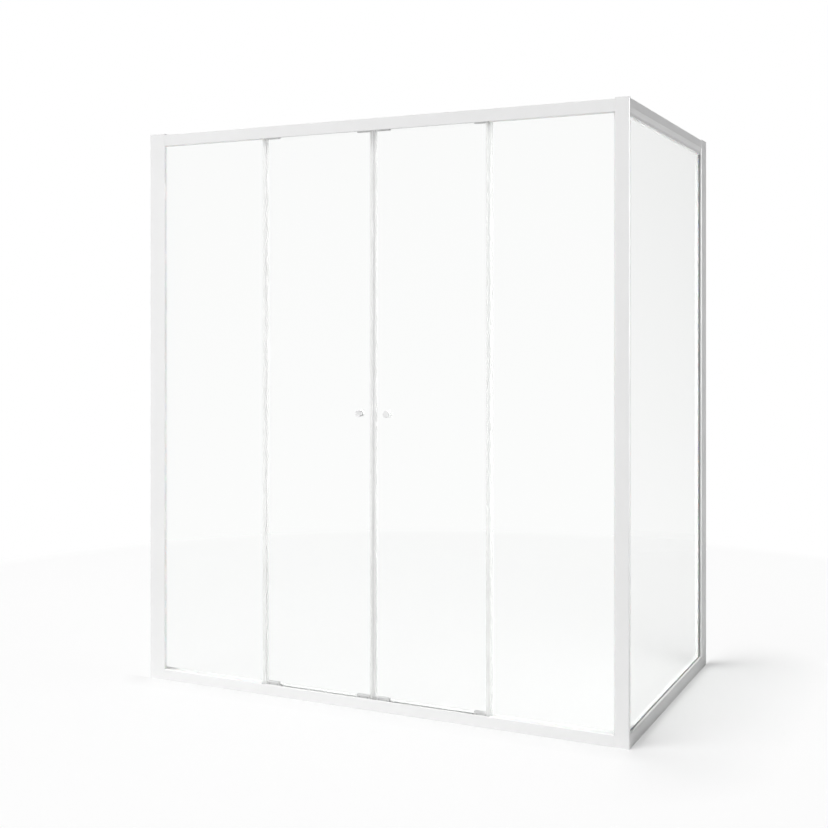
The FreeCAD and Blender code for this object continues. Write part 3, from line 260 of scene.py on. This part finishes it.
def grey(value, warm=0.0):
    """A near neutral colour."""
    return (value + warm, value, value - warm, 1.0)


def white_paint():
    """Satin white powder coat: fine orange peel, a little brighter where edges are rubbed."""
    material, tree, shader, _ = finish("white_paint", {"IOR": 1.5, "Coat Roughness": 0.12})
    tone = use(tree, "tone", {"Size": 0.35, "Colour": grey(0.86), "Other": grey(0.835)})
    colour = rub_in(tree, tone, grey(0.9), 0.0009, 0.06)
    tree.links.new(colour, shader.inputs["Base Color"])
    tree.links.new(use(tree, "cloud", {"Size": 0.12, "Low": 0.30, "High": 0.38}),
                   shader.inputs["Roughness"])
    bumped(tree, shader, use(tree, "lumps", {"Size": 0.0016}), 0.25, 0.00006)
    return material


def white_plastic():
    """Moulded white caps: a fine spark grain."""
    material, tree, shader, _ = finish("white_plastic", {"IOR": 1.48})
    tone = use(tree, "tone", {"Size": 0.05, "Colour": grey(0.84, 0.003), "Other": grey(0.815)})
    tree.links.new(rub_in(tree, tone, grey(0.88), 0.0008, 0.03), shader.inputs["Base Color"])
    tree.links.new(use(tree, "cloud", {"Size": 0.03, "Low": 0.42, "High": 0.52}),
                   shader.inputs["Roughness"])
    bumped(tree, shader, use(tree, "lumps", {"Size": 0.0005}), 0.35, 0.00005)
    return material


def glass(name, across):
    """Toughened float glass with a faint green body. Its edges are nearly clear, and it throws
    only a faint shadow. across is the direction through the pane."""
    material, tree, shader, output = finish(
        name,
        {"Base Color": (0.985, 0.99, 0.985, 1), "IOR": 1.5, "Transmission Weight": 1.0,
         "Metallic": 0.0})
    tree.links.new(use(tree, "sides", {"Across": across, "Face": 1.0, "Edge": EDGE_ALPHA}),
                   shader.inputs["Alpha"])
    tree.links.new(use(tree, "cloud", {"Size": 0.5, "Low": 0.0, "High": 0.012}),
                   shader.inputs["Roughness"])
    bumped(tree, shader, use(tree, "lumps", {"Size": 0.22}), 0.2, 0.00004)
    clear = put(tree, "BsdfTransparent", {"Color": (0.95, 0.955, 0.95, 1)})
    path = put(tree, "LightPath")
    mix = put(tree, "MixShader")
    tree.links.new(path.outputs["Is Shadow Ray"], mix.inputs[0])
    tree.links.new(shader.outputs[0], mix.inputs[1])
    tree.links.new(clear.outputs[0], mix.inputs[2])
    tree.links.new(mix.outputs[0], output.inputs["Surface"])
    body = put(tree, "VolumeAbsorption", {"Color": (0.5, 0.58, 0.53, 1), "Density": 4.0})
    tree.links.new(body.outputs[0], output.inputs["Volume"])
    return material


def clear_glass():
    """The panes of the front."""
    return glass("clear_glass", (0.0, 1.0, 0.0))


def side_clear_glass():
    """The pane of the side."""
    return glass("side_clear_glass", (1.0, 0.0, 0.0))


def pale_gasket():
    """Pale extruded glazing strip, slightly milky."""
    material, tree, shader, _ = finish("pale_gasket", {
        "IOR": 1.45, "Specular IOR Level": 0.12, "Subsurface Weight": 0.15,
        "Subsurface Scale": 0.002})
    tone = use(tree, "tone", {"Size": 0.15, "Colour": grey(0.84), "Other": grey(0.81)})
    tree.links.new(tone, shader.inputs["Base Color"])
    tree.links.new(use(tree, "cloud", {"Size": 0.05, "Low": 0.38, "High": 0.5}),
                   shader.inputs["Roughness"])
    bumped(tree, shader, use(tree, "lumps", {"Size": 0.0008}), 0.3, 0.00005)
    return material


def dark_gasket():
    """Dark grey rubber with a dry bloom."""
    material, tree, shader, _ = finish("dark_gasket", {"IOR": 1.5, "Sheen Weight": 0.08})
    tone = use(tree, "tone", {"Size": 0.02, "Colour": grey(0.17), "Other": grey(0.12)})
    tree.links.new(rub_in(tree, tone, grey(0.24), 0.0007, 0.02), shader.inputs["Base Color"])
    tree.links.new(use(tree, "cloud", {"Size": 0.03, "Low": 0.55, "High": 0.7}),
                   shader.inputs["Roughness"])
    bumped(tree, shader, use(tree, "lumps", {"Size": 0.0004}), 0.4, 0.00006)
    return material


def seal_strip():
    """Milky extruded seal. Its outer skin shows and lets about half of the light through."""
    material, tree, shader, _ = finish("seal_strip", {"IOR": 1.4})
    tone = use(tree, "tone", {"Size": 0.5, "Colour": grey(0.89), "Other": grey(0.87)})
    tree.links.new(tone, shader.inputs["Base Color"])
    veil = use(tree, "cloud", {"Size": 0.3, "Low": SEAL_ALPHA_LOW, "High": SEAL_ALPHA_HIGH})
    outside = math_node(tree, "SUBTRACT", 1.0, put(tree, "NewGeometry").outputs["Backfacing"])
    tree.links.new(math_node(tree, "MULTIPLY", veil, outside), shader.inputs["Alpha"])
    tree.links.new(use(tree, "cloud", {"Size": 0.08, "Low": 0.12, "High": 0.2}),
                   shader.inputs["Roughness"])
    bumped(tree, shader, use(tree, "drawn", {"Pitch": (0.0006, 0.0006, 0.4)}), 0.12, 0.00003)
    return material


def grey_plastic():
    """Moulded grey carriers: glass filled nylon with a matt grain."""
    material, tree, shader, _ = finish("grey_plastic", {"IOR": 1.53})
    tone = use(tree, "tone", {"Size": 0.012, "Colour": grey(0.74), "Other": grey(0.66)})
    tree.links.new(rub_in(tree, tone, grey(0.84), 0.0006, 0.01), shader.inputs["Base Color"])
    tree.links.new(use(tree, "cloud", {"Size": 0.01, "Low": 0.42, "High": 0.56}),
                   shader.inputs["Roughness"])
    bumped(tree, shader, use(tree, "lumps", {"Size": 0.0006}), 0.4, 0.00006)
    return material


def knob_acrylic():
    """Milk white acrylic of the knobs, which spreads the light inside."""
    material, tree, shader, _ = finish("knob_acrylic", {
        "IOR": 1.49, "Specular IOR Level": 0.2, "Subsurface Weight": 0.5,
        "Subsurface Scale": 0.006, "Subsurface Radius": (1.0, 1.0, 1.0)})
    tone = use(tree, "tone", {"Size": 0.02, "Colour": grey(0.90), "Other": grey(0.88)})
    tree.links.new(rub_in(tree, tone, grey(0.93), 0.0008, 0.01), shader.inputs["Base Color"])
    tree.links.new(use(tree, "cloud", {"Size": 0.01, "Low": 0.24, "High": 0.34}),
                   shader.inputs["Roughness"])
    bumped(tree, shader, use(tree, "lumps", {"Size": 0.0009}), 0.15, 0.00003)
    return material


def wheel_nylon():
    """Natural white nylon wheels, with a polished running track."""
    material, tree, shader, _ = finish("wheel_nylon", {"IOR": 1.53, "Subsurface Weight": 0.3,
                                                       "Subsurface Scale": 0.003})
    tone = use(tree, "tone", {"Size": 0.006, "Colour": grey(0.78, 0.01),
                              "Other": grey(0.70, 0.015)})
    tree.links.new(rub_in(tree, tone, grey(0.62), 0.0005, 0.004), shader.inputs["Base Color"])
    tree.links.new(use(tree, "cloud", {"Size": 0.006, "Low": 0.3, "High": 0.45}),
                   shader.inputs["Roughness"])
    bumped(tree, shader, use(tree, "lumps", {"Size": 0.0004}), 0.25, 0.00004)
    return material


def screw_steel():
    """Plain stainless screws and axles with turning marks."""
    material, tree, shader, _ = finish("screw_steel", {"Metallic": 1.0})
    tone = use(tree, "tone", {"Size": 0.003, "Colour": grey(0.56), "Other": grey(0.48)})
    tree.links.new(rub_in(tree, tone, grey(0.68), 0.0003, 0.002), shader.inputs["Base Color"])
    tree.links.new(use(tree, "cloud", {"Size": 0.002, "Low": 0.24, "High": 0.38}),
                   shader.inputs["Roughness"])
    bumped(tree, shader, use(tree, "drawn", {"Pitch": (0.0002, 0.0015, 0.0002)}), 0.3, 0.00003)
    return material


def magnet_core():
    """Flexible magnet strip with a white coat."""
    material, tree, shader, _ = finish("magnet_core", {"IOR": 1.5})
    tone = use(tree, "tone", {"Size": 0.004, "Colour": grey(0.94), "Other": grey(0.90)})
    tree.links.new(tone, shader.inputs["Base Color"])
    tree.links.new(use(tree, "cloud", {"Size": 0.01, "Low": 0.6, "High": 0.75}),
                   shader.inputs["Roughness"])
    bumped(tree, shader, use(tree, "lumps", {"Size": 0.0003}), 0.4, 0.00005)
    return material


FINISHES = {maker.__name__: maker() for maker in (
    white_paint, white_plastic, clear_glass, side_clear_glass, pale_gasket, dark_gasket,
    seal_strip, grey_plastic, knob_acrylic, wheel_nylon, screw_steel, magnet_core)}
# Nodes that get another finish than the one of their slot
OTHER_FINISH = {"side_glass": "side_clear_glass"}
for hand in ("left", "right"):
    for place in ("outer", "inner"):
        OTHER_FINISH[f"{hand}_{place}_knob"] = "knob_acrylic"


def dress_frame():
    """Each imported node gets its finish. The milky seals cast no shadow."""
    for name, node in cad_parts.items():
        for holder in node.material_slots:
            slot = holder.material.name.split(".")[0]
            holder.material = FINISHES[OTHER_FINISH.get(name, slot)]
        if name.endswith("_strip"):
            node.visible_shadow = False


# Radius of the rounded edges in millimetres, by the finish of a node
ROUNDING = {"white_paint": 0.3, "white_plastic": 0.5, "clear_glass": 0.5,
            "side_clear_glass": 0.5, "grey_plastic": 0.35, "knob_acrylic": 0.5,
            "screw_steel": 0.12, "wheel_nylon": 0.15}
ROUND_ANGLE = math.radians(32)
WELD_REACH = 0.01 * MM


def round_edges():
    """Small radii on the sharp edges, so that they catch the light."""
    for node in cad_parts.values():
        radius = ROUNDING.get(node.material_slots[0].material.name)
        if radius is None:
            continue
        weld = node.modifiers.new("weld", "WELD")
        weld.merge_threshold = WELD_REACH
        bevel = node.modifiers.new("edges", "BEVEL")
        bevel.width = radius * MM
        bevel.segments = 2
        bevel.limit_method = "ANGLE"
        bevel.angle_limit = ROUND_ANGLE
        bevel.use_clamp_overlap = False
        bevel.harden_normals = True


# Studio

# Room light from above and from below, and how softly one turns into the other
ROOM_ABOVE, ROOM_BELOW, ROOM_BLEND = 0.12, 0.95, 0.3
# How white the background is where a piece mirrors it
MIRRORED_SHARE = 0.35
# Far lights: strength, direction of fall and width. The glint shows only as a gloss on the
# rounded edges that turn to the right.
KEY = (2.85, (0.26, 0.45, -0.86), math.radians(35))
GLINT = (8.0, (-0.96, 0.27, -0.12), math.radians(35))
# Soft panel at the front left: power in watts, place, where it points and its size
FILL = (12.5, (-2.4, -3.0, 1.1), (-0.6, -0.49, 1.0), 1.6)
# Half the width of the floor
FLOOR_SPREAD = 3.2
# How white the floor is seen: away from the frame, at its foot and on its right, and how far the
# last two reach.
# The lower values at the foot and on the right paint a darker band of shade there, on top of the
# real shadow they let show
GLOW_AWAY = 0.9
GLOW_FOOT, FOOT_REACH = 0.5, 0.10
GLOW_RIGHT, RIGHT_REACH = 0.38, 0.42
# Distances from the middle between which the floor turns all white
GLOW_START, GLOW_END = 1.2, 3.0


def seen_straight(tree):
    """The share of the white background that a ray gets: all of it when it is seen or comes
    through glass, part of it when it is mirrored, none when it lights a piece."""
    path = put(tree, "LightPath")
    mirrored = math_node(tree, "MULTIPLY", path.outputs["Is Glossy Ray"], MIRRORED_SHARE)
    seen = math_node(tree, "MAXIMUM", path.outputs["Is Camera Ray"],
                     path.outputs["Is Transmission Ray"])
    return math_node(tree, "MAXIMUM", seen, mirrored)


def light_room():
    """Even room light on the pieces in front of a white background."""
    world = bpy.data.worlds.new("studio")
    bpy.context.scene.world = world
    world.use_nodes = True
    tree = world.node_tree
    tree.nodes.clear()
    up = put(tree, "SeparateXYZ",
             links={"Vector": put(tree, "TexCoord").outputs["Generated"]}).outputs["Z"]
    height = put(tree, "MapRange", {"From Min": -ROOM_BLEND, "From Max": ROOM_BLEND,
                                    "To Min": ROOM_BELOW, "To Max": ROOM_ABOVE},
                 {"Value": up})
    room = put(tree, "Background", {"Color": (1, 1, 1, 1)},
               {"Strength": height.outputs["Result"]})
    white = put(tree, "Background", {"Color": (1, 1, 1, 1), "Strength": 1.0})
    mix = put(tree, "MixShader")
    tree.links.new(seen_straight(tree), mix.inputs[0])
    tree.links.new(room.outputs[0], mix.inputs[1])
    tree.links.new(white.outputs[0], mix.inputs[2])
    put(tree, "OutputWorld", links={"Surface": mix.outputs[0]})


def hang_lamp(name, data, towards):
    """A lamp that shines along a direction and isn't seen in the panes."""
    lamp = bpy.data.objects.new(name, data)
    lamp.rotation_euler = Vector(towards).to_track_quat("-Z", "Y").to_euler()
    lamp.visible_glossy = False
    lamp.visible_transmission = False
    bpy.context.scene.collection.objects.link(lamp)
    return lamp


def far_light(name, strength, towards, width):
    """A broad far light that falls along a direction."""
    data = bpy.data.lights.new(name, "SUN")
    data.energy = strength
    data.angle = width
    return hang_lamp(name, data, towards)


def soft_panel(name, power, spot, target, size):
    """A square soft panel that points at a target."""
    data = bpy.data.lights.new(name, "AREA")
    data.energy = power
    data.size = size
    lamp = hang_lamp(name, data, Vector(target) - Vector(spot))
    lamp.location = spot
    return lamp


def light_pieces():
    """The key, the fill at the front left and the glint on the edges."""
    far_light("key", *KEY)
    soft_panel("fill", *FILL)
    glint = far_light("glint", *GLINT)
    glint.visible_glossy = True
    glint.visible_diffuse = False


def float_mix(tree, share, first, second):
    """A value between two others, by a share."""
    mix = put(tree, "Mix", data_type="FLOAT")
    for place, value in ((0, share), (2, first), (3, second)):
        if isinstance(value, (int, float)):
            mix.inputs[place].default_value = value
        else:
            tree.links.new(value, mix.inputs[place])
    return mix.outputs[0]


def floor_glow(tree):
    """How white the floor is seen: less at the foot of the frame and on its right, a painted
    band of shade that also lets the real shadow show there.
    """
    spot = put(tree, "TexCoord").outputs["Object"]
    place = put(tree, "SeparateXYZ", links={"Vector": spot})
    in_front = math_node(tree, "SUBTRACT", cad_box[0][1], place.outputs["Y"])
    on_right = math_node(tree, "SUBTRACT", place.outputs["X"], cad_box[1][0])
    beyond = {}
    for axis, half in zip("XY", cad_box[1]):
        reach = math_node(tree, "ABSOLUTE", place.outputs[axis], 0.0)
        beyond[axis] = math_node(tree, "MAXIMUM", math_node(tree, "SUBTRACT", reach, half), 0.0)
    gap = put(tree, "VectorMath", operation="LENGTH",
              links={"Vector": put(tree, "CombineXYZ", links=beyond).outputs[0]})
    gap = gap.outputs["Value"]
    # Painted shade: the floor's white share drops towards the foot and the right of the frame
    shades = [put(tree, "MapRange", {"From Min": 0.0, "From Max": reach, "To Min": least,
                                     "To Max": GLOW_AWAY}, {"Value": gap}).outputs["Result"]
              for least, reach in ((GLOW_FOOT, FOOT_REACH), (GLOW_RIGHT, RIGHT_REACH))]
    turn = math_node(tree, "DIVIDE", math_node(tree, "MAXIMUM", on_right, 0.0),
                     math_node(tree, "MAXIMUM", gap, MM))
    outside = math_node(tree, "GREATER_THAN",
                        math_node(tree, "MAXIMUM", in_front, on_right), 0.0)
    near = float_mix(tree, outside, GLOW_AWAY, float_mix(tree, turn, *shades))
    away = put(tree, "VectorMath", links={"Vector": spot}, operation="LENGTH")
    far = put(tree, "MapRange", {"From Min": GLOW_START, "From Max": GLOW_END,
                                 "To Min": 0.0, "To Max": 1.0}, {"Value": away.outputs["Value"]})
    return math_node(tree, "MAXIMUM", near, far.outputs["Result"])


def lay_floor():
    """A pale floor that keeps the shadow, has a painted band of shade at the frame's foot and
    right, and turns white away from the frame.
    """
    mesh = bpy.data.meshes.new("floor")
    shape = bmesh.new()
    bmesh.ops.create_grid(shape, x_segments=8, y_segments=8, size=FLOOR_SPREAD)
    shape.to_mesh(mesh)
    shape.free()
    floor = bpy.data.objects.new("floor", mesh)
    bpy.context.scene.collection.objects.link(floor)
    material, tree, shader, output = finish("studio_floor", {"Specular IOR Level": 0.2})
    tree.links.new(use(tree, "tone", {"Size": 0.6, "Colour": grey(0.77), "Other": grey(0.75)}),
                   shader.inputs["Base Color"])
    tree.links.new(use(tree, "cloud", {"Size": 0.4, "Low": 0.6, "High": 0.7}),
                   shader.inputs["Roughness"])
    white = put(tree, "Emission", {"Color": (1, 1, 1, 1), "Strength": 1.0})
    mix = put(tree, "MixShader")
    share = math_node(tree, "MULTIPLY", seen_straight(tree), floor_glow(tree))
    tree.links.new(share, mix.inputs[0])
    tree.links.new(shader.outputs[0], mix.inputs[1])
    tree.links.new(white.outputs[0], mix.inputs[2])
    tree.links.new(mix.outputs[0], output.inputs["Surface"])
    mesh.materials.append(material)


aim_camera()
dress_frame()
round_edges()
light_room()
light_pieces()
lay_floor()

bpy.context.scene.view_settings.view_transform = "Standard"
